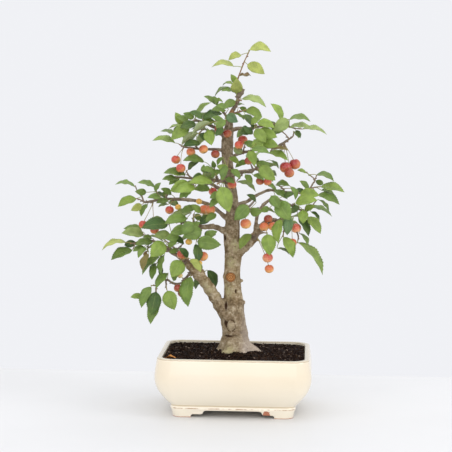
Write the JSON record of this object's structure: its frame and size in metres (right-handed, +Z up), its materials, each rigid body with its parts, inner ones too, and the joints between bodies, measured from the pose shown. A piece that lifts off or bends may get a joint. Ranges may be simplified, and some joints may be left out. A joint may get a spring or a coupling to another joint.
{
  "type": "crabapple bonsai in a glazed pot",
  "caption": "Fruiting crabapple bonsai: tapering trunk with spreading leafy limbs and hanging apples, in a shallow rounded rectangular pot on cloud feet.",
  "frame": {"origin": "on the ground under the middle of the bounding box", "axes": "+Z up the trunk, +X to the right along the pot's long side, -Y towards the front"},
  "size_m": [0.364, 0.2102, 0.5573],
  "materials": {
    "glaze": "glossy cream glaze",
    "soil": "dark granular potting soil",
    "bark": "grey-brown bark with pale lichen",
    "foliage": "satin green leaves on brown twigs",
    "fruit": "smooth skin, red to orange",
    "dry_leaf": "dry leaf",
    "mesh": "black plastic"
  },
  "bodies": {
    "root": {"apples_back_east": "fruit", "apples_back_left": "fruit", "apples_back_low": "fruit", "apples_centre_right": "fruit", "apples_crown_left": "fruit", "apples_far_left_pair": "fruit", "apples_front_single": "fruit", "apples_left_lower": "fruit", "apples_left_pair": "fruit", "apples_left_trio": "fruit", "apples_left_yellow": "fruit", "apples_low_pair": "fruit", "apples_low_pale": "fruit", "apples_right_cluster": "fruit", "apples_right_hanging": "fruit", "apples_right_inner_pair": "fruit", "apples_right_outer": "fruit", "apples_right_trio": "fruit", "apples_under_crown": "fruit", "apples_upper_front": "fruit", "apples_upper_left": "fruit", "apples_upper_right_small": "fruit", "apples_upper_trunk_left": "fruit", "drain_mesh_left": "mesh", "drain_mesh_right": "mesh", "fallen_leaf": "dry_leaf", "pot": "glaze", "soil": "soil", "spray_back_east": "foliage", "spray_back_left": "foliage", "spray_back_low": "foliage", "spray_back_right": "foliage", "spray_back_top": "foliage", "spray_back_west": "foliage", "spray_crown_left": "foliage", "spray_crown_right": "foliage", "spray_crown_top": "foliage", "spray_far_left_high": "foliage", "spray_far_left_middle": "foliage", "spray_far_right_high": "foliage", "spray_far_right_middle": "foliage", "spray_front_high": "foliage", "spray_leader": "foliage", "spray_left_middle_front": "foliage", "spray_left_middle_outer": "foliage", "spray_left_middle_rise": "foliage", "spray_left_twig": "foliage", "spray_left_upper": "foliage", "spray_low_left_back": "foliage", "spray_low_left_front": "foliage", "spray_low_left_lower": "foliage", "spray_low_left_upper": "foliage", "spray_right_front": "foliage", "spray_right_low": "foliage", "spray_right_middle_high": "foliage", "spray_right_spur": "foliage", "spray_right_trailing": "foliage", "spray_right_upper": "foliage", "spray_top_right": "foliage", "trunk": "bark"}
  },
  "joints": []
}
